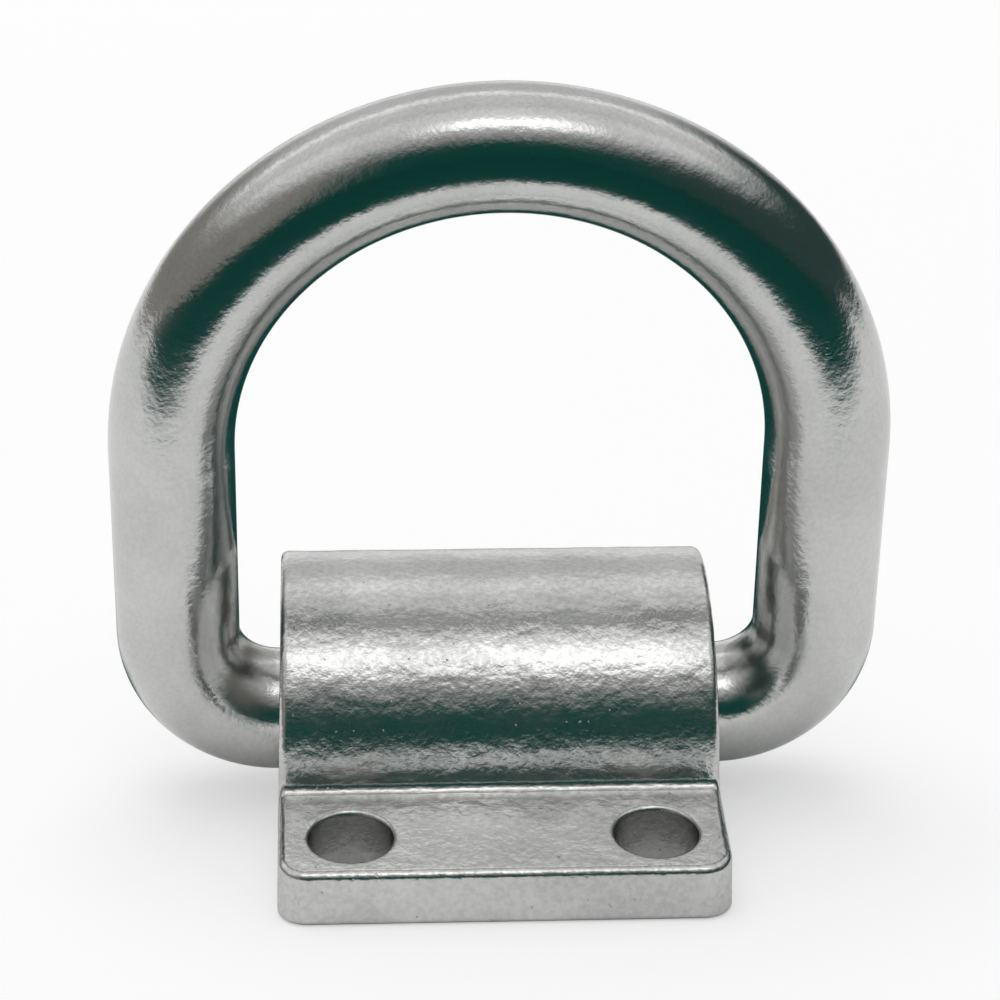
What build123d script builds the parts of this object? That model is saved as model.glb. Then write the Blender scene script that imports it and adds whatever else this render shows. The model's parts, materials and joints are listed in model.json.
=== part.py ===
"""Folding pad eye: a D-ring that swings in the barrel of a bolted-down saddle.

Frame: +Z up off the deck, X along the hinge, Y from the front flange (-Y) to the
rear one (+Y). The origin is the centre of the saddle's underside. Millimetres.
"""

import os
from math import cos, radians, sin, tan

from build123d import *

# Ring: a D of round rod, bent and welded shut
rod_d = 10.0
ring_reach = 51.0  # hinge axis to the centreline of the crown
corner_inner_r = 3.1  # inside radius between bar and leg
ring_lean = 9.0  # the ring stands this far forward of upright

# Fit of the bar in the saddle
bore_clearance = 0.08  # on the radius
end_play = 0.2  # saddle's end to the start of the ring's corner

# Saddle: one casting with a flange and two holes at the front, and again at the rear
saddle_length = 35.6  # along the hinge, at the underside
barrel_wall = 7.92
floor_under_bore = 2.3
side_draft = 1.3  # the ends lean in towards the top
flange_reach = 11.1  # beyond the barrel
flange_edge = 4.5  # thickness at the front and rear edges
flange_slope = 8.0  # the top falls away from the barrel
barrel_fillet = 0.8  # where barrel and flange meet
plan_corner_r = 2.4
edge_r = 0.6  # cast edges of the ends and the flange tops
foot_r = 0.5  # round the underside

# Fixing holes
hole_d = 6.6  # clearance for M6
hole_to_end = 5.8  # hole centre to the saddle's end
hole_to_edge = 5.1  # hole centre to the flange's edge
hole_rim_r = 0.4  # softened rims of the holes
bore_rim_r = 0.6  # softened mouths of the bore

bore_d = rod_d + 2 * bore_clearance
barrel_r = bore_d / 2 + barrel_wall
axis_height = floor_under_bore + bore_d / 2
flange_y = barrel_r + flange_reach
half_length = saddle_length / 2
saddle_top = axis_height + barrel_r
hole_x = half_length - hole_to_end
hole_y = flange_y - hole_to_edge


def flange_top(y: float) -> float:
    """Height of the flange's top face at a distance y from the hinge."""
    return flange_edge + (flange_y - y) * tan(radians(flange_slope))


# The saddle's section across the hinge is carried along the hinge, its ends are
# drafted and its edges rounded, and then the bore and the holes are cut.
with BuildPart() as saddle:
    with BuildSketch(Plane.YZ) as section:
        with Locations((0, axis_height)):
            Circle(barrel_r)
        with BuildLine():
            Polyline(
                (-flange_y, 0),
                (flange_y, 0),
                (flange_y, flange_edge),
                (0, flange_top(0)),
                (-flange_y, flange_edge),
                close=True,
            )
        make_face()
        with Locations((0, -saddle_top)):
            Rectangle(4 * flange_y, 2 * saddle_top, mode=Mode.SUBTRACT)
        creases = section.vertices().filter_by(
            lambda v: barrel_r * 0.8 < abs(v.X) < flange_y - edge_r and v.Y > foot_r
        )
        fillet(creases, barrel_fillet)
    extrude(amount=half_length, both=True)

    with BuildSketch(Plane.XY):
        RectangleRounded(saddle_length, 2 * flange_y, plan_corner_r)
    extrude(amount=2 * saddle_top, taper=side_draft, mode=Mode.INTERSECT)

    # Every edge of the ends and of the flanges' outer sides, but not the upright
    # corners, the creases between barrel and flange, or the underside's rim
    underside = saddle.faces().sort_by(Axis.Z)[0]
    corners = saddle.edges().filter_by(lambda e: abs(e.tangent_at(0.5).Z) > 0.99)
    rims = saddle.edges() - underside.edges() - corners
    fillet(
        rims.filter_by(
            lambda e: abs(e.center().X) > half_length - plan_corner_r
            or abs(e.center().Y) > flange_y - plan_corner_r
        ),
        edge_r,
    )
    fillet(saddle.faces().sort_by(Axis.Z)[0].edges(), foot_r)

    with BuildSketch(Plane.YZ.offset(-half_length)):
        with Locations((0, axis_height)):
            Circle(bore_d / 2)
    extrude(amount=saddle_length, mode=Mode.SUBTRACT)
    bore = saddle.faces(Select.LAST).filter_by(GeomType.CYLINDER)
    fillet(bore.edges().filter_by(GeomType.LINE, reverse=True), bore_rim_r)

    with GridLocations(2 * hole_x, 2 * hole_y, 2, 2):
        Hole(hole_d / 2, depth=2 * saddle_top)
    holes = saddle.faces(Select.LAST).filter_by(GeomType.CYLINDER)
    fillet(holes.edges().filter_by(GeomType.LINE, reverse=True), hole_rim_r)

saddle.part.label = "saddle"

# The ring's centreline is drawn in its own plane, with the hinge axis as its x axis:
# the bar, then on each side a corner and a parallel leg, closed by a half circle. The
# bar's length follows the saddle's, so the legs always stand clear of its ends.
ring_plane = Plane(
    origin=(0, 0, axis_height),
    x_dir=(1, 0, 0),
    z_dir=(0, -cos(radians(ring_lean)), -sin(radians(ring_lean))),
)
corner_r = corner_inner_r + rod_d / 2
bar_half = half_length + end_play
bow_r = bar_half + corner_r
leg_length = ring_reach - bow_r - corner_r

with BuildPart() as d_ring:
    with BuildLine(ring_plane) as loop:
        bar = Line((-bar_half, 0), (bar_half, 0))
        corner = JernArc(bar @ 1, bar % 1, corner_r, 90)
        leg = Line(corner @ 1, corner @ 1 + (corner % 1) * leg_length)
        bow = JernArc(leg @ 1, leg % 1, bow_r, 180)
        far_leg = Line(bow @ 1, bow @ 1 + (bow % 1) * leg_length)
        JernArc(far_leg @ 1, far_leg % 1, corner_r, 90)
    with BuildSketch(Plane(bar @ 0.5, z_dir=bar % 0.5)):
        Circle(rod_d / 2)
    sweep(path=loop.wire())

d_ring.part.label = "d_ring"

os.makedirs("parts", exist_ok=True)
for piece in (saddle, d_ring):
    export_step(piece.part, f"parts/{piece.part.label}.step")
    box = piece.part.bounding_box()
    print(piece.part.label, piece.part.is_valid, f"{piece.part.volume:.1f}", box)
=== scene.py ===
"""Folding pad eye in cast and polished stainless steel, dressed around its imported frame.

Lengths are in millimetres until a mesh is made, and in metres in Blender. The frame is
the row's: +Z up off the deck, X along the hinge, -Y towards the front flange. The ring
and the saddle are numpy surfaces that stand for the two CAD nodes, and what places them
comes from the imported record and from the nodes' boxes.
"""

from __future__ import annotations

import json
import logging
import math
from dataclasses import dataclass
from enum import Enum
from typing import Any, Callable, Sequence

import bpy
import numpy as np
from mathutils import Matrix, Vector

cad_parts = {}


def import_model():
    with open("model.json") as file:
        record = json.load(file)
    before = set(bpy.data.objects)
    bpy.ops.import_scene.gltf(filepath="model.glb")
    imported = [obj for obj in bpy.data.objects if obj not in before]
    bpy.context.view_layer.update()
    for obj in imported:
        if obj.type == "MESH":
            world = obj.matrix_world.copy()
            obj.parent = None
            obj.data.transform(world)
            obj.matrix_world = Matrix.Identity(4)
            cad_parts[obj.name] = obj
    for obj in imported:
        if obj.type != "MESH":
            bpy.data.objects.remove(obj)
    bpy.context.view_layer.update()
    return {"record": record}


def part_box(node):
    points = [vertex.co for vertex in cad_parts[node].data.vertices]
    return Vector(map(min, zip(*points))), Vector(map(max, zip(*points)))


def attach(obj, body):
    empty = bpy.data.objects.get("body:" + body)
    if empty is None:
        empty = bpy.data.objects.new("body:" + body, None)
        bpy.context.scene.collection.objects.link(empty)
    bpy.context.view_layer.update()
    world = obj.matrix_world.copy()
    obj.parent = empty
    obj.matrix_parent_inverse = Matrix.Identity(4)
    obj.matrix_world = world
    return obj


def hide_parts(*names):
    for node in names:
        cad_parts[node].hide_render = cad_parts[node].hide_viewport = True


LOG = logging.getLogger("pad_eye")
MM = 0.001

Colour = tuple[float, float, float]
Array = np.ndarray


class Body(str, Enum):
    """The two rigid bodies of the fitting."""

    BASE = "base"
    RING = "ring"


class Slot(str, Enum):
    """The record's material slots."""

    CAST = "cast_stainless"
    POLISHED = "polished_stainless"


# ---------------------------------------------------------------- shader sockets


@dataclass
class Sock:
    """A number carried by a shader socket, with arithmetic written as Python."""

    nodes: "Nodes"
    link: Any

    def __add__(self, other: Any) -> "Sock":
        """Sum."""
        return self.nodes.math("ADD", self, other)

    __radd__ = __add__

    def __mul__(self, other: Any) -> "Sock":
        """Product."""
        return self.nodes.math("MULTIPLY", self, other)

    __rmul__ = __mul__

    def __sub__(self, other: Any) -> "Sock":
        """Difference."""
        return self.nodes.math("SUBTRACT", self, other)

    def __rsub__(self, other: Any) -> "Sock":
        """Difference, the other way round."""
        return self.nodes.math("SUBTRACT", other, self)

    def __neg__(self) -> "Sock":
        """The value with its sign turned."""
        return self.nodes.math("MULTIPLY", self, -1.0)

    def __abs__(self) -> "Sock":
        """The value without its sign."""
        return self.nodes.math("ABSOLUTE", self)

    def clamped(self) -> "Sock":
        """The value kept between 0 and 1."""
        return self.nodes.math("ADD", self, 0.0, clamp=True)

    def rise(self, low: float, high: float) -> "Sock":
        """A smooth step that goes from 0 at low to 1 at high."""
        inputs = {"Value": self, "From Min": low, "From Max": high}
        return self.nodes.number("ShaderNodeMapRange", {"interpolation_type": "SMOOTHSTEP"}, inputs)


@dataclass
class Nodes:
    """The node tree of one material or of the world, emptied and filled again."""

    tree: Any

    def __post_init__(self) -> None:
        """Clears what the tree starts with."""
        self.tree.nodes.clear()

    def node(self, kind: str, settings: dict[str, Any], inputs: dict[Any, Any]) -> Any:
        """Adds one node of any type.

        Args:
            kind: the node's type.
            settings: its attributes, set first; stops holds a colour ramp's stops.
            inputs: input name or number, to a value, a Sock or an output socket.

        Returns:
            The node.
        """
        made = self.tree.nodes.new(kind)
        for name, value in settings.items():
            if name == "stops":
                self._set_stops(made.color_ramp, value)
            else:
                setattr(made, name, value)
        for name, value in inputs.items():
            source = value.link if isinstance(value, Sock) else value
            if isinstance(source, bpy.types.NodeSocket):
                self.tree.links.new(source, made.inputs[name])
            else:
                made.inputs[name].default_value = source
        return made

    @staticmethod
    def _set_stops(ramp: Any, stops: Sequence[tuple[float, Colour]]) -> None:
        """Gives a colour ramp its stops, as (place, colour) in order."""
        while len(ramp.elements) < len(stops):
            ramp.elements.new(1.0)
        for element, (place, colour) in zip(ramp.elements, stops):
            element.position = place
            element.color = (*colour, 1.0)

    def number(self, kind: str, settings: dict[str, Any], inputs: dict[Any, Any]) -> Sock:
        """Adds a node and takes its first output as a number."""
        return Sock(self, self.node(kind, settings, inputs).outputs[0])

    def mix(self, factor: Any, low: Any, high: Any) -> Any:
        """Mixes two colours and returns the colour socket."""
        inputs = {0: factor, 6: self.colour(low), 7: self.colour(high)}
        return self.node("ShaderNodeMix", {"data_type": "RGBA"}, inputs).outputs[2]

    def math(self, operation: str, *values: Any, clamp: bool = False) -> Sock:
        """Adds one Math node.

        Args:
            operation: the Math node's operation.
            values: its inputs in order, numbers or sockets.
            clamp: whether the result is kept between 0 and 1.

        Returns:
            The node's result.
        """
        settings = {"operation": operation, "use_clamp": clamp}
        return self.number("ShaderNodeMath", settings, dict(enumerate(values)))

    def noise(self, place: Any, size_mm: float, detail: float, roughness: float = 0.5) -> Sock:
        """A noise field from 0 to 1 whose largest features have about the given size."""
        inputs = {"Vector": place, "Scale": 1 / (size_mm * MM), "Detail": detail, "Roughness": roughness}
        return self.number("ShaderNodeTexNoise", {}, inputs)

    def light_path(self, name: str) -> Sock:
        """One of Light Path's questions, such as Is Camera Ray."""
        return Sock(self, self.node("ShaderNodeLightPath", {}, {}).outputs[name])

    def coordinates(self, name: str) -> Any:
        """One of Texture Coordinate's outputs."""
        return self.node("ShaderNodeTexCoord", {}, {}).outputs[name]

    def split(self, vector: Any) -> list[Sock]:
        """The three numbers of a vector."""
        made = self.node("ShaderNodeSeparateXYZ", {}, {0: vector})
        return [Sock(self, output) for output in made.outputs]

    @staticmethod
    def colour(value: Any) -> Any:
        """A plain colour with its alpha; a socket as it is."""
        return (*value, 1.0) if isinstance(value, tuple) and len(value) == 3 else value


# ---------------------------------------------------------------------- finishes


@dataclass(frozen=True)
class Stainless:
    """A stainless finish: bright metal broken up by its grain, its pits and faint stains.

    The patterns are in Object coordinates, so that they stay on the piece.
    """

    name: str
    colour: Colour
    stain: Colour
    roughness: float
    rough_spread: float
    grain_mm: float
    grain_height: float
    swell_mm: float
    swell_height: float
    pit_mm: float
    pit_height: float
    pit_cover: float  # noise below this is a pit
    mottle: float  # how much the grain also shows as light and dark
    pit_rim: float = 0.06  # width of a pit's soft rim, in the noise's own units
    stain_mm: float = 9.0
    pit_stain: float = 0.5
    broad_stain: float = 0.3
    stain_rough: float = 0.04
    pit_rough: float = 0.12

    def make(self) -> bpy.types.Material:
        """Builds the material.

        Returns:
            The material. Its height is fine grain, a longer swell and scattered pits.
            The pits and the broad stains also darken it and make it rougher, and the
            grain breaks up its colour and its roughness.
        """
        material = bpy.data.materials.new(self.name)
        material.use_nodes = True
        n = Nodes(material.node_tree)
        place = n.coordinates("Object")
        grain = n.noise(place, self.grain_mm, 4.0, 0.6)
        swell = n.noise(place, self.swell_mm, 2.0)
        stains = n.noise(place, self.stain_mm, 4.0, 0.6).rise(0.4, 0.62)
        pits = 1 - n.noise(place, self.pit_mm, 1.5).rise(self.pit_cover - self.pit_rim, self.pit_cover)
        height = grain * self.grain_height + swell * self.swell_height - pits * self.pit_height
        bump = n.node("ShaderNodeBump", {}, {"Height": height, "Distance": MM}).outputs[0]
        worn = pits * self.pit_stain + stains * self.broad_stain
        worn = worn + grain.rise(0.36, 0.66) * self.mottle
        colour = n.mix(worn.clamped(), self.colour, self.stain)
        rough = self.roughness + (grain - 0.5) * self.rough_spread
        rough = rough + stains * self.stain_rough + pits * self.pit_rough
        inputs = {"Base Color": colour, "Metallic": 1.0, "Roughness": rough.clamped(), "Normal": bump}
        metal = n.node("ShaderNodeBsdfPrincipled", {}, inputs)
        n.node("ShaderNodeOutputMaterial", {}, {"Surface": metal.outputs[0]})
        return material


POLISHED = Stainless(
    name="polished_stainless",
    colour=(0.66, 0.665, 0.655),
    stain=(0.50, 0.505, 0.49),
    roughness=0.12,
    rough_spread=0.10,
    grain_mm=0.36,
    grain_height=0.02,
    swell_mm=1.9,
    swell_height=0.045,
    pit_mm=0.35,
    pit_height=0.004,
    pit_cover=0.25,
    mottle=0.3,
)
CAST = Stainless(
    name="cast_stainless",
    colour=(0.70, 0.70, 0.69),
    stain=(0.42, 0.425, 0.41),
    roughness=0.18,
    rough_spread=0.16,
    grain_mm=0.45,
    grain_height=0.04,
    swell_mm=1.0,
    swell_height=0.045,
    pit_mm=0.55,
    pit_height=0.02,
    pit_cover=0.275,
    mottle=0.3,
)


# ------------------------------------------------------------------- mesh helpers


def wrap_mesh(name: str, points: Array) -> bpy.types.Mesh:
    """Turns a grid of points that closes both ways into a mesh of quads.

    Args:
        name: the mesh's name.
        points: an array of shape (u, v, 3), in millimetres.

    Returns:
        The mesh, in metres, its faces pointing along u cross v.
    """
    rows, columns = points.shape[:2]
    here = np.arange(rows * columns).reshape(rows, columns)
    over, across = np.roll(here, -1, 0), np.roll(here, -1, 1)
    quads = np.stack([here, over, np.roll(over, -1, 1), across], -1).reshape(-1, 4)
    mesh = bpy.data.meshes.new(name)
    mesh.vertices.add(rows * columns)
    mesh.vertices.foreach_set("co", (points * MM).astype(np.float32).ravel())
    mesh.loops.add(quads.size)
    mesh.loops.foreach_set("vertex_index", quads.astype(np.int32).ravel())
    mesh.polygons.add(len(quads))
    mesh.polygons.foreach_set("loop_start", np.arange(0, quads.size, 4, dtype=np.int32))
    mesh.update(calc_edges=True)
    mesh.shade_smooth()
    return mesh


def add_object(name: str, data: bpy.types.ID) -> bpy.types.Object:
    """Adds a mesh, a camera or a lamp to the scene as an object at the origin."""
    made = bpy.data.objects.new(name, data)
    bpy.context.scene.collection.objects.link(made)
    return made


def ripples(places: Array, length: float, waves: int, seed: int) -> Array:
    """A smooth seeded field: a sum of plane sine waves in all directions.

    Args:
        places: points, an array of shape (n, 3), in millimetres.
        length: the typical wavelength, in millimetres.
        waves: how many waves are added.
        seed: the seed of their directions, lengths and phases.

    Returns:
        The field at each point, with a standard deviation of about 1.
    """
    random = np.random.default_rng(seed)
    directions = random.normal(size=(3, waves))
    directions /= np.linalg.norm(directions, axis=0)
    numbers = 2 * math.pi / (length * random.uniform(0.6, 1.6, waves))
    phases = random.uniform(0, 2 * math.pi, waves)
    return np.sin(places @ (directions * numbers) + phases).sum(1) * math.sqrt(2 / waves)


def eased(count: int) -> Array:
    """Shares from 0 up to, but not with, 1, close together at both ends: half a cosine."""
    return (1 - np.cos(np.linspace(0, math.pi, count, endpoint=False))) / 2


def between(start: float, end: float, step: float) -> Array:
    """Evenly spaced values from start up to, but not with, end, about a step apart."""
    return np.linspace(start, end, max(2, round(abs(end - start) / step)), endpoint=False)


def joined(a: Array, b: Array, radius: float) -> Array:
    """Distance field of two solids together, with a fillet where they meet."""
    bend = np.hypot(np.maximum(radius - a, 0), np.maximum(radius - b, 0))
    return np.maximum(radius, np.minimum(a, b)) - bend


def common(a: Array, b: Array, radius: float) -> Array:
    """Distance field of what is inside both solids, with its new edges rounded."""
    bend = np.hypot(np.maximum(radius + a, 0), np.maximum(radius + b, 0))
    return np.minimum(-radius, np.maximum(a, b)) + bend


def slope(field: Callable[[Array], Array], places: Array, step: float) -> Array:
    """The gradient of a field at each point, by central differences."""
    steps = np.eye(3) * step
    return np.stack([(field(places + s) - field(places - s)) / (2 * step) for s in steps], 1)


# ------------------------------------------------------------------------ saddle


@dataclass
class Saddle:
    """The cast base: a barrel for the hinge bar on a flange with four bolt holes.

    Its surface is where a distance field is zero. A grid closed both ways, round the
    section and through the bore, is laid close to it, drilled, and then moved onto it.
    """

    half_length: float
    flange_y: float
    top: float
    axis_height: float
    hole_x: float
    hole_y: float
    hole_r: float
    bore_r: float = 5.08
    flange_edge: float = 4.5
    flange_slope: float = math.radians(8.0)
    side_draft: float = math.radians(1.3)
    plan_corner_r: float = 2.4
    crease_r: float = 0.8
    edge_r: float = 0.6
    foot_r: float = 0.5
    bore_rim_r: float = 0.6
    hole_rim_r: float = 0.4
    coarse_mm: float = 3.2  # typical length of the skin's long ripples
    coarse_height: float = 0.008
    fine_mm: float = 1.1  # and of its short ones
    fine_height: float = 0.004
    waves: int = 60  # sine waves added up for each
    front_skin: float = 0.1  # share of the skin left on the ground front face
    cell: float = 0.25  # spacing of the mesh
    end_rows: int = 26  # rows of the mesh down each end
    bore_rows: int = 30  # and through the bore
    under_columns: int = 44  # columns across the underside
    flare: float = math.radians(48)  # where on the bore the flange's corners are matched
    drill_turns: int = 72
    moves: int = 8  # how often the mesh is moved towards the surface
    probe: float = 0.01  # step for measuring the distance field's slope
    skin_probe: float = 0.02  # and the skin's

    @classmethod
    def from_frame(cls, record: dict[str, Any]) -> "Saddle":
        """Takes the sizes that place the saddle from its node's box and the record.

        Args:
            record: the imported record.

        Returns:
            The saddle. Its box is measured above the foot's rounding, where the draft
            has already drawn the sides in, so that much is added back.
        """
        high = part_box("saddle")[1]
        bolts = next(m for m in record["mounts"] if m["name"] == "deck_bolts")["dims"]
        hinge = record["behaviour"]["joints"][0]
        return cls(
            half_length=high.x / MM + cls.foot_r * math.tan(cls.side_draft),
            flange_y=high.y / MM + cls.foot_r * math.tan(cls.side_draft),
            top=high.z / MM,
            axis_height=hinge["pos_m"][2] / MM,
            hole_x=bolts["spacing_x_mm"] / 2,
            hole_y=bolts["spacing_y_mm"] / 2,
            hole_r=bolts["hole_r_mm"],
        )

    @property
    def barrel_r(self) -> float:
        """The barrel's outer radius."""
        return self.top - self.axis_height

    def solid(self, places: Array) -> Array:
        """Distance to the saddle's surface, negative inside, in millimetres.

        The section is a circle joined to the space under the flange's sloping top. It is
        cut to a rounded rectangle that shrinks upwards by the draft, cut off at the deck,
        bored along X and drilled along Z, with every edge rounded by its own radius.

        Args:
            places: points, an array of shape (n, 3).

        Returns:
            The distance at each point.
        """
        x, y, z = np.abs(places[:, 0]), np.abs(places[:, 1]), places[:, 2]
        from_axis = np.hypot(y, z - self.axis_height)
        fall = z - self.flange_edge - (self.flange_y - y) * math.tan(self.flange_slope)
        section = joined(from_axis - self.barrel_r, fall * math.cos(self.flange_slope), self.crease_r)
        side_x = x - self.half_length + self.plan_corner_r
        side_y = y - self.flange_y + self.plan_corner_r
        corner = np.hypot(np.maximum(side_x, 0), np.maximum(side_y, 0))
        plan = corner + np.minimum(np.maximum(side_x, side_y), 0) - self.plan_corner_r
        body = common(section, plan + z * math.tan(self.side_draft), self.edge_r)
        body = common(body, -z, self.foot_r)
        body = common(body, self.bore_r - from_axis, self.bore_rim_r)
        from_hole = np.hypot(x - self.hole_x, y - self.hole_y)
        return common(body, self.hole_r - from_hole, self.hole_rim_r)

    def skin(self, places: Array) -> Array:
        """Height of the cast skin over the smooth surface.

        Long and short ripples are added. They are full on the barrel and the flange
        tops, faint on the ground front face, and fade out in the bore, in the holes and
        underneath.

        Args:
            places: points, an array of shape (n, 3).

        Returns:
            The height at each point, in millimetres.
        """
        coarse = self.coarse_height * ripples(places, self.coarse_mm, self.waves, seed=11)
        fine = self.fine_height * ripples(places, self.fine_mm, self.waves, seed=12)
        front = np.clip((places[:, 1] + self.flange_y - 0.5) / 1.0, 0, 1)
        deck = np.clip(places[:, 2] / 1.5, 0, 1)
        from_axis = np.hypot(places[:, 1], places[:, 2] - self.axis_height)
        bore = np.clip((from_axis - self.bore_r - self.bore_rim_r) / 1.0, 0, 1)
        from_hole = np.hypot(np.abs(places[:, 0]) - self.hole_x, np.abs(places[:, 1]) - self.hole_y)
        holes = np.clip((from_hole - self.hole_r) / 0.8, 0, 1)
        share = self.front_skin + (1 - self.front_skin) * front
        return (coarse + fine) * share * deck * bore * holes

    def outline(self) -> tuple[Array, Array]:
        """The section's sharp outline, anticlockwise in Y and Z, and its match on the bore.

        Flat underside, upright edge, sloping flange, barrel, and the same mirrored.

        Returns:
            Points of shape (n, 2), and for each the angle round the bore of its partner.
        """
        meet = self._crease_angle()
        count = round(self.barrel_r * 3.4 / self.cell)  # the arc is about 3.4 radii long
        barrel = np.linspace(-meet, math.pi + meet, count)
        arc = np.stack([np.cos(barrel), np.sin(barrel)], 1) * self.barrel_r
        arc[:, 1] += self.axis_height
        edge = between(0, self.flange_edge, self.cell)
        rise = between(self.flange_y, arc[0, 0], self.cell)
        fall = self.flange_edge + (self.flange_y - rise) * math.tan(self.flange_slope)
        right = np.stack([np.r_[np.full(len(edge), self.flange_y), rise], np.r_[edge, fall]], 1)
        left = right[::-1] * (-1, 1)
        under = -self.flange_y + 2 * self.flange_y * eased(self.under_columns)[1:]
        floor = np.stack([under, np.zeros(len(under))], 1)
        shares = np.linspace(0, 1, len(right), endpoint=False)
        ramp = -self.flare + shares * (self.flare - meet)
        low = np.linspace(math.pi + self.flare, 2 * math.pi - self.flare, len(under) + 2)
        partner = np.r_[ramp, barrel, math.pi - ramp[::-1], low[1:-1]]
        return np.concatenate([right, arc, left, floor]), partner

    def _crease_angle(self) -> float:
        """How far below the horizontal the barrel meets the flange, in radians."""
        reach = self.flange_edge + self.flange_y * math.tan(self.flange_slope) - self.axis_height
        lean = self.flange_slope
        return lean - math.asin(reach * math.cos(lean) / self.barrel_r)

    def blank(self) -> Array:
        """The sharp saddle before drilling, as a grid closed both ways.

        One way is round the section. The other goes along the outside, down one end to
        the bore, back through the bore, and up the other end.

        Returns:
            The points, of shape (round, through, 3).
        """
        section, angles = self.outline()
        bore = np.stack([np.cos(angles), np.sin(angles)], 1) * self.bore_r + (0, self.axis_height)
        along = between(-self.half_length, self.half_length, self.cell)
        ends = eased(self.end_rows)
        end_x = np.full(self.end_rows, self.half_length)
        through = (1 - 2 * eased(self.bore_rows)) * self.half_length
        x = np.r_[along, end_x, through, -end_x]
        share = np.r_[np.zeros(len(along)), ends, np.ones(self.bore_rows), 1 - ends]
        flat = section[:, None] * (1 - share[:, None]) + bore[:, None] * share[:, None]
        return np.concatenate([np.broadcast_to(x[:, None], (*flat.shape[:2], 1)), flat], 2)

    def drill(self) -> Array:
        """One drill at the origin: a circle carried up Z, past both faces of the flange.

        Returns:
            The points, of shape (round, rings, 3).
        """
        turn = np.linspace(0, 2 * math.pi, self.drill_turns, endpoint=False)[:, None]
        height = np.r_[-1.0, between(-0.6, 7.0, 0.2), 7.4]  # close rings where it cuts
        across, forward = self.hole_r * np.cos(turn), self.hole_r * np.sin(turn)
        return np.stack(np.broadcast_arrays(across, forward, height), 2)

    def build(self) -> bpy.types.Object:
        """Lays and drills the saddle's mesh, moves it onto the surface and adds the skin.

        Each step of the move goes down the distance field's own slope. The skin then
        lifts each point along its normal, and leans the normal by the skin's slope.

        Returns:
            The saddle's object.
        """
        piece = add_object("saddle_casting", wrap_mesh("saddle_casting", self.blank()))
        self._bore_holes(piece)
        mesh = piece.data
        places = np.empty(len(mesh.vertices) * 3, np.float32)
        mesh.vertices.foreach_get("co", places)
        places = places.reshape(-1, 3).astype(float) / MM
        for _ in range(self.moves):
            lean = slope(self.solid, places, self.probe)
            size = np.maximum((lean**2).sum(1, keepdims=True), 0.25)  # a flat spot moves little
            places -= self.solid(places)[:, None] * lean / size
        normal = slope(self.solid, places, self.probe)
        normal /= np.linalg.norm(normal, axis=1, keepdims=True)
        places += normal * self.skin(places)[:, None]
        normal -= slope(self.skin, places, self.skin_probe)
        normal /= np.linalg.norm(normal, axis=1, keepdims=True)
        mesh.vertices.foreach_set("co", (places * MM).astype(np.float32).ravel())
        mesh.update()
        mesh.shade_smooth()
        mesh.normals_split_custom_set_from_vertices(normal.astype(np.float32))
        return piece

    def _bore_holes(self, piece: bpy.types.Object) -> None:
        """Cuts the four bolt holes out of the saddle with one Boolean, and applies it.

        Args:
            piece: the saddle's object, whose mesh is replaced.
        """
        points = self.drill()
        places = [(x, y, 0) for x in (-self.hole_x, self.hole_x) for y in (-self.hole_y, self.hole_y)]
        drills = [self._capped(points + place) for place in places]
        with bpy.context.temp_override(active_object=drills[0], selected_editable_objects=drills):
            bpy.ops.object.join()
        cut = piece.modifiers.new("holes", "BOOLEAN")
        cut.operation = "DIFFERENCE"
        cut.solver = "MANIFOLD"
        cut.object = drills[0]
        graph = bpy.context.evaluated_depsgraph_get()
        drilled = bpy.data.meshes.new_from_object(piece.evaluated_get(graph))
        piece.modifiers.clear()
        piece.data = drilled
        bpy.data.objects.remove(drills[0])

    @staticmethod
    def _capped(points: Array) -> bpy.types.Object:
        """A tube of rings with a flat face over each end.

        Args:
            points: the rings, of shape (round, rings, 3), in millimetres.

        Returns:
            The tube's object.
        """
        turns, rings = points.shape[:2]
        here = np.arange(turns * rings).reshape(turns, rings)
        over = np.roll(here, -1, 0)
        sides = np.stack([here[:, :-1], over[:, :-1], over[:, 1:], here[:, 1:]], -1)
        faces = [*sides.reshape(-1, 4).tolist(), here[::-1, 0].tolist(), here[:, -1].tolist()]
        mesh = bpy.data.meshes.new("drill")
        mesh.from_pydata((points.reshape(-1, 3) * MM).tolist(), [], faces)
        return add_object("drill", mesh)

    def dress(self) -> bpy.types.Object:
        """Builds the casting, gives it its finish and ties it to the base body.

        Returns:
            The casting's object.
        """
        piece = self.build()
        piece.data.materials.clear()
        piece.data.materials.append(CAST.make())
        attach(piece, Body.BASE.value)
        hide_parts("saddle")
        return piece


# -------------------------------------------------------------------------- ring


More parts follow.
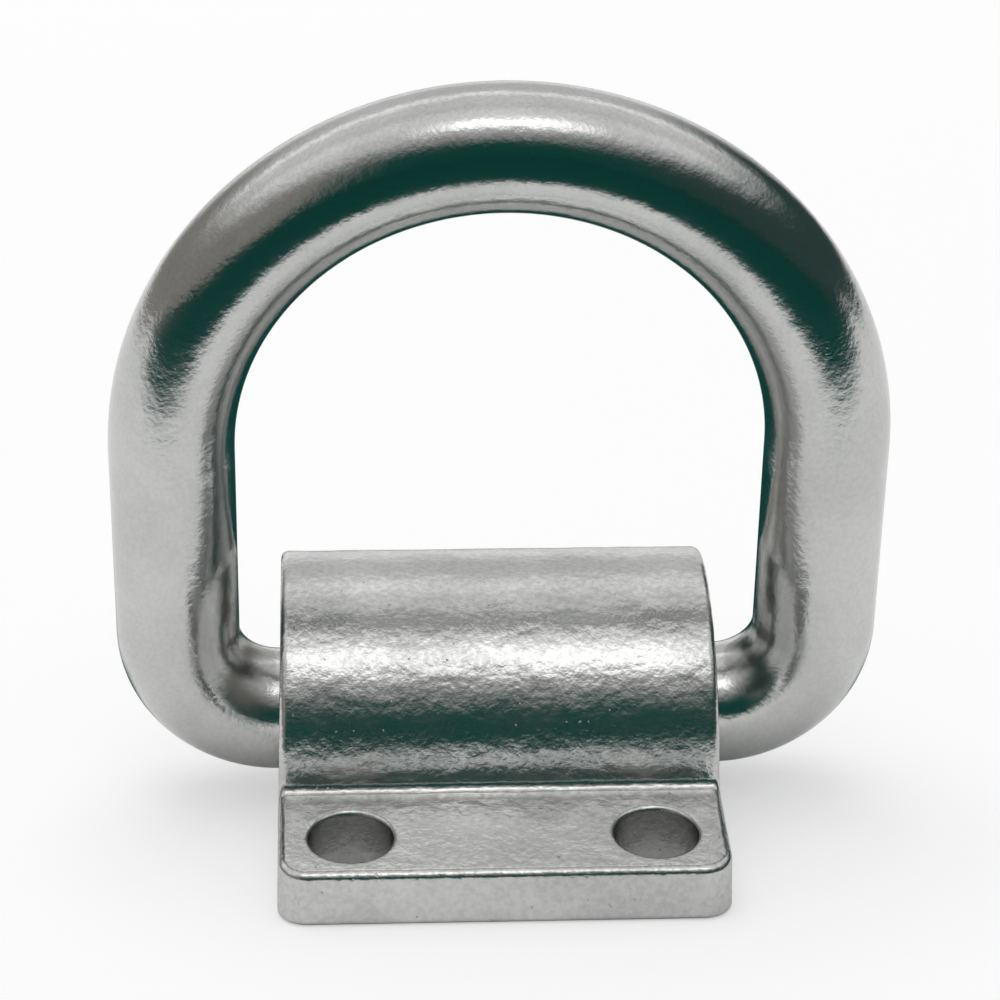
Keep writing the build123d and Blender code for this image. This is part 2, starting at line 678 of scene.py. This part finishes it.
@dataclass
class DRing:
    """The ring: round rod bent to a D, hinged by its straight bar."""

    bar_half: float
    bow_r: float
    reach: float
    axis_height: float
    corner_r: float = 8.1
    rod_r: float = 5.0
    lean: float = math.radians(9.0)
    drift: float = 0.3  # the bar lies this far to one side, within its end play
    rings: int = 640
    turns: int = 88

    @classmethod
    def from_frame(cls, record: dict[str, Any]) -> "DRing":
        """Takes the sizes that place the ring from its node's box and the hinge.

        Args:
            record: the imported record.

        Returns:
            The ring. Its rod's radius is how far the box reaches behind the hinge.
        """
        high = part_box("d_ring")[1] / MM
        axis_height = record["behaviour"]["joints"][0]["pos_m"][2] / MM
        rod_r = high.y
        bow_r = high.x - rod_r
        reach = (high.z - axis_height - rod_r) / math.cos(cls.lean)
        return cls(bow_r - cls.corner_r, bow_r, reach, axis_height, rod_r=rod_r)

    def centreline(self) -> tuple[Array, Array]:
        """The rod's centre and its inward direction, in the ring's own plane.

        The heading grows evenly with the length along each bend and stays the same
        along each straight, and the centre is the running sum of the unit headings.

        Returns:
            Points and inward normals, each of shape (rings, 2): across, and outwards
            from the hinge.
        """
        leg = self.reach - self.bow_r - self.corner_r
        quarter = self.corner_r * math.pi / 2
        stretches = [self.bar_half, quarter, leg, self.bow_r * math.pi, leg, quarter, self.bar_half]
        turned = [0, math.pi / 2, 0, math.pi, 0, math.pi / 2, 0]
        stations = np.r_[0, np.cumsum(stretches)]
        step = stations[-1] / self.rings
        middles = (np.arange(self.rings) + 0.5) * step
        heading = np.interp(middles, stations, np.r_[0, np.cumsum(turned)])
        moves = np.stack([np.cos(heading), np.sin(heading)], 1) * step
        moves -= moves.mean(0)
        ends = np.cumsum(moves, 0)
        facing = np.interp(middles + step / 2, stations, np.r_[0, np.cumsum(turned)])
        return ends, np.stack([-np.sin(facing), np.cos(facing)], 1)

    def surface(self) -> Array:
        """The rod's surface: a circle carried square to the centreline.

        Returns:
            The points, of shape (rings, turns, 3).
        """
        centre, inward = self.centreline()
        turn = np.linspace(0, 2 * math.pi, self.turns, endpoint=False)
        flat = centre[:, None] + self.rod_r * np.cos(turn)[:, None] * inward[:, None]
        proud = np.broadcast_to(self.rod_r * np.sin(turn), flat.shape[:2])
        across, out = flat[..., 0] + self.drift, flat[..., 1]
        forward, up = math.sin(self.lean), math.cos(self.lean)
        y = -out * forward + proud * up
        z = self.axis_height + out * up + proud * forward
        return np.stack([across, y, z], -1)

    def dress(self) -> bpy.types.Object:
        """Builds the ring, gives it its finish and ties it to the ring body.

        Returns:
            The ring's object.
        """
        piece = add_object("d_ring_rod", wrap_mesh("d_ring_rod", self.surface()))
        piece.data.materials.append(POLISHED.make())
        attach(piece, Body.RING.value)
        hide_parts("d_ring")
        return piece


# ------------------------------------------------------------------------ studio


@dataclass(frozen=True)
class Viewpoint:
    """Where the camera stands, and what it is aimed at, in millimetres and radians."""

    elevation: float = math.radians(21.9)
    yaw: float = math.radians(3.2)
    roll: float = math.radians(-0.55)
    distance: float = 283.5
    lens: float = 122.5
    aim_right: float = 0.5
    aim_up: float = 17.05

    def make(self, axis_height: float) -> None:
        """Adds the camera, aimed from a point on the hinge axis, and makes it current.

        Args:
            axis_height: the hinge axis's height above the deck.
        """
        rise, turn = self.elevation, self.yaw
        away = Vector((-math.sin(turn) * math.cos(rise), -math.cos(turn) * math.cos(rise), math.sin(rise)))
        right = Vector((math.cos(turn), -math.sin(turn), 0))
        up = Vector((math.sin(turn) * math.sin(rise), math.cos(turn) * math.sin(rise), math.cos(rise)))
        aim = Vector((0, 0, axis_height)) + self.aim_right * right + self.aim_up * up
        level = right * math.cos(self.roll) - up * math.sin(self.roll)
        upright = right * math.sin(self.roll) + up * math.cos(self.roll)
        data = bpy.data.cameras.new("camera")
        data.lens = self.lens
        data.clip_start = 0.01
        camera = add_object("camera", data)
        turned = Matrix((level, upright, away)).transposed().to_4x4()
        camera.matrix_world = Matrix.Translation((aim + away * self.distance) * MM) @ turned
        bpy.context.scene.camera = camera


@dataclass(frozen=True)
class Studio:
    """A pale floor and a soft-lit room, with a dark side where the viewer stands.

    The room is described by the angle that rises from the front horizon over the
    zenith, in degrees, and by how far a direction leans to the left or right. The floor
    and the lamp are in metres.
    """

    pale: Colour = (0.87, 0.87, 0.87)
    # The dark side of the room; the floor's painted shadow behind the ring takes this colour too.
    dark: Colour = (0.006, 0.06, 0.05)
    left_wall: Colour = (0.26, 0.25, 0.235)
    right_wall: Colour = (0.03, 0.06, 0.055)
    # Painted shade: the grey of the floor right under the saddle, which shows through the bolt holes.
    deck: Colour = (0.55, 0.56, 0.55)
    dark_floor: float = 0.063  # how far in front of the hinge the floor turns dark
    painted_shade_half_x: float = 0.0166  # half sizes of the grey painted shade under the saddle
    painted_shade_half_y: float = 0.0228
    floor_half: float = 2.0
    floor_drop: float = 2e-5  # the floor lies this far under the saddle
    floor_glow: float = 0.5  # how much of the nearby floor shines white to the camera
    lamp_place: tuple[float, float, float] = (-0.15, 0.1, 1.2)
    lamp_size: float = 0.9
    lamp_power: float = 5.0
    gain: float = 2.0  # the ramp holds colours up to 1, so it is halved and doubled again

    @property
    def rising(self) -> list[tuple[float, Colour]]:
        """The room's light from the front horizon, at 0, over the zenith to the back one."""
        greys = {34: 0.26, 40: 0.42, 48: 0.6, 80: 0.9, 92: 0.66, 104: 0.75, 119: 0.75}
        greys |= {122: 1.25, 127: 1.25, 130: 0.66, 158: 0.62, 170: 0.9, 180: 1.0}
        start = [(0, self.dark), (23, self.dark), (28, (0.14, 0.18, 0.165))]
        return start + [(angle, (grey,) * 3) for angle, grey in greys.items()]

    def room(self) -> None:
        """Makes the world: white to the camera, and the room to everything else.

        The ramp gives the light from front to back. Two side walls cover it low down,
        and a soft box hangs in front, a little over halfway up.
        """
        world = bpy.data.worlds.new("studio")
        bpy.context.scene.world = world
        world.use_nodes = True
        n = Nodes(world.node_tree)
        x, y, z = n.split(n.coordinates("Generated"))
        rise = n.math("ARCTAN2", z, -y) * (180 / math.pi)
        stops = [(angle / 180, tuple(c / self.gain for c in colour)) for angle, colour in self.rising]
        ramp = n.node("ShaderNodeValToRGB", {"stops": stops}, {0: rise * (1 / 180)}).outputs[0]
        around = n.node("ShaderNodeVectorMath", {"operation": "SCALE"}, {0: ramp, "Scale": self.gain})
        right = (1 - z.rise(0.36, 0.72)) * x.rise(0.25, 0.6)
        left = (1 - z.rise(0.28, 0.66)) * (-x).rise(0.25, 0.6)
        seen = n.mix(right, around.outputs[0], self.right_wall)
        seen = n.mix(left, seen, self.left_wall)
        soft_box = rise.rise(48, 55) * (1 - rise.rise(61, 72)) * (1 - abs(x - 0.06).rise(0.16, 0.38))
        seen = n.mix(soft_box, seen, (self.gain,) * 3)
        seen = n.mix(n.light_path("Is Camera Ray"), seen, (1.0, 1.0, 1.0))
        background = n.node("ShaderNodeBackground", {}, {"Color": seen})
        n.node("ShaderNodeOutputWorld", {}, {"Surface": background.outputs[0]})

    def floor(self) -> None:
        """Adds the floor, just under the saddle.

        The camera sees it white with the object's shadow, which fades out further off.
        The metal sees it pale near the object, and dark further towards the viewer. The
        dark patch behind the ring is a painted shadow of the object, which only the metal
        sees. The grey right under the saddle, grey to both, is painted shade that shows
        through the bolt holes.
        """
        half, low = self.floor_half, -self.floor_drop
        mesh = bpy.data.meshes.new("floor")
        square = [(-half, -half, low), (half, -half, low), (half, half, low), (-half, half, low)]
        mesh.from_pydata(square, [], [(0, 1, 2, 3)])
        piece = add_object("floor", mesh)
        material = bpy.data.materials.new("pale_floor")
        material.use_nodes = True
        material.cycles.emission_sampling = "NONE"
        n = Nodes(material.node_tree)
        to_camera = n.light_path("Is Camera Ray")
        across, back, _ = n.split(n.coordinates("Object"))
        # Painted shadow: a dark patch on the floor just behind the ring and the saddle, which only glossy
        # rays see, stands for the object's own shadow.
        behind = back.rise(0.006, 0.014) * (1 - back.rise(0.08, 0.1))
        behind = behind * (1 - abs(across).rise(0.034, 0.046))
        front = (-back).rise(self.dark_floor - 0.004, self.dark_floor + 0.004)
        shade = n.math("MAXIMUM", behind, front) * n.light_path("Is Glossy Ray")
        # Painted shade: right under the saddle the floor is grey to the camera and to the metal, and has
        # no glow, so that the bolt holes show shade.
        deck = n.math("MAXIMUM", abs(across) * (1 / self.painted_shade_half_x), abs(back) * (1 / self.painted_shade_half_y))
        clear = deck.rise(0.97, 1.03)
        colour = n.mix(to_camera, n.mix(shade, self.pale, self.dark), (1.0, 1.0, 1.0))
        colour = n.mix(clear, self.deck, colour)
        paper = n.node("ShaderNodeBsdfDiffuse", {}, {"Color": colour})
        glow = n.node("ShaderNodeEmission", {}, {"Color": (1.0, 1.0, 1.0, 1.0), "Strength": 1.0})
        far = n.math("MAXIMUM", abs(across), abs(back)).rise(0.08, 0.5)
        white = to_camera * clear * (self.floor_glow + far * (1 - self.floor_glow))
        inputs = {0: white, 1: paper.outputs[0], 2: glow.outputs[0]}
        mixed = n.node("ShaderNodeMixShader", {}, inputs)
        n.node("ShaderNodeOutputMaterial", {}, {"Surface": mixed.outputs[0]})
        mesh.materials.append(material)

    def lamp(self) -> None:
        """Adds a broad lamp overhead that lights the floor; the metal sees the room."""
        data = bpy.data.lights.new("overhead", "AREA")
        data.shape = "DISK"
        data.size = self.lamp_size
        data.energy = self.lamp_power
        lamp = add_object("overhead", data)
        lamp.matrix_world = Matrix.Translation(self.lamp_place)
        lamp.visible_glossy = False


# -------------------------------------------------------------------------- main


def main() -> None:
    """Loads the frame, builds and dresses each piece, and sets up the studio."""
    logging.basicConfig(level=logging.INFO, format="%(name)s: %(message)s")
    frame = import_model()
    record = frame["record"]
    saddle = Saddle.from_frame(record)
    for part in (saddle, DRing.from_frame(record)):
        piece = part.dress()
    studio = Studio()
    studio.room()
    studio.floor()
    studio.lamp()
    Viewpoint().make(saddle.axis_height)
    bpy.context.scene.view_settings.view_transform = "Standard"


if __name__ == "__main__":
    main()
